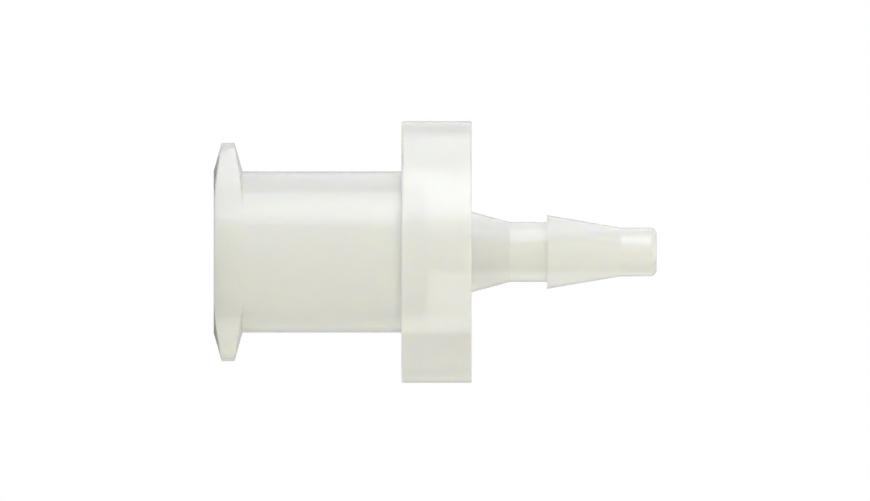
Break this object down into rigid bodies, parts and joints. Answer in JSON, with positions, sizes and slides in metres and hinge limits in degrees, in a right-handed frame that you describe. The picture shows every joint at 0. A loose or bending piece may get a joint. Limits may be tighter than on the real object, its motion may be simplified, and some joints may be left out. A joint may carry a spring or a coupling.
{
  "type": "female luer fitting",
  "caption": "One-piece moulded female luer fitting with locking lugs, a lobed grip flange and a hose barb for small flexible tube.",
  "frame": {"origin": "centre of the luer mouth's flat face, on the flow passage's axis", "axes": "+Z along the flow passage from the luer mouth towards the hose barb's tip; the two locking lugs and the long way of the grip flange point along +X and -X; the fitting stands on its mouth face"},
  "size_m": [0.0094, 0.0068, 0.0158],
  "materials": {
    "natural_polypropylene": "moulded, uncoloured and milky, satin sheen, lets light through"
  },
  "bodies": {
    "root": {"luer_fitting": "natural_polypropylene"}
  },
  "joints": []
}
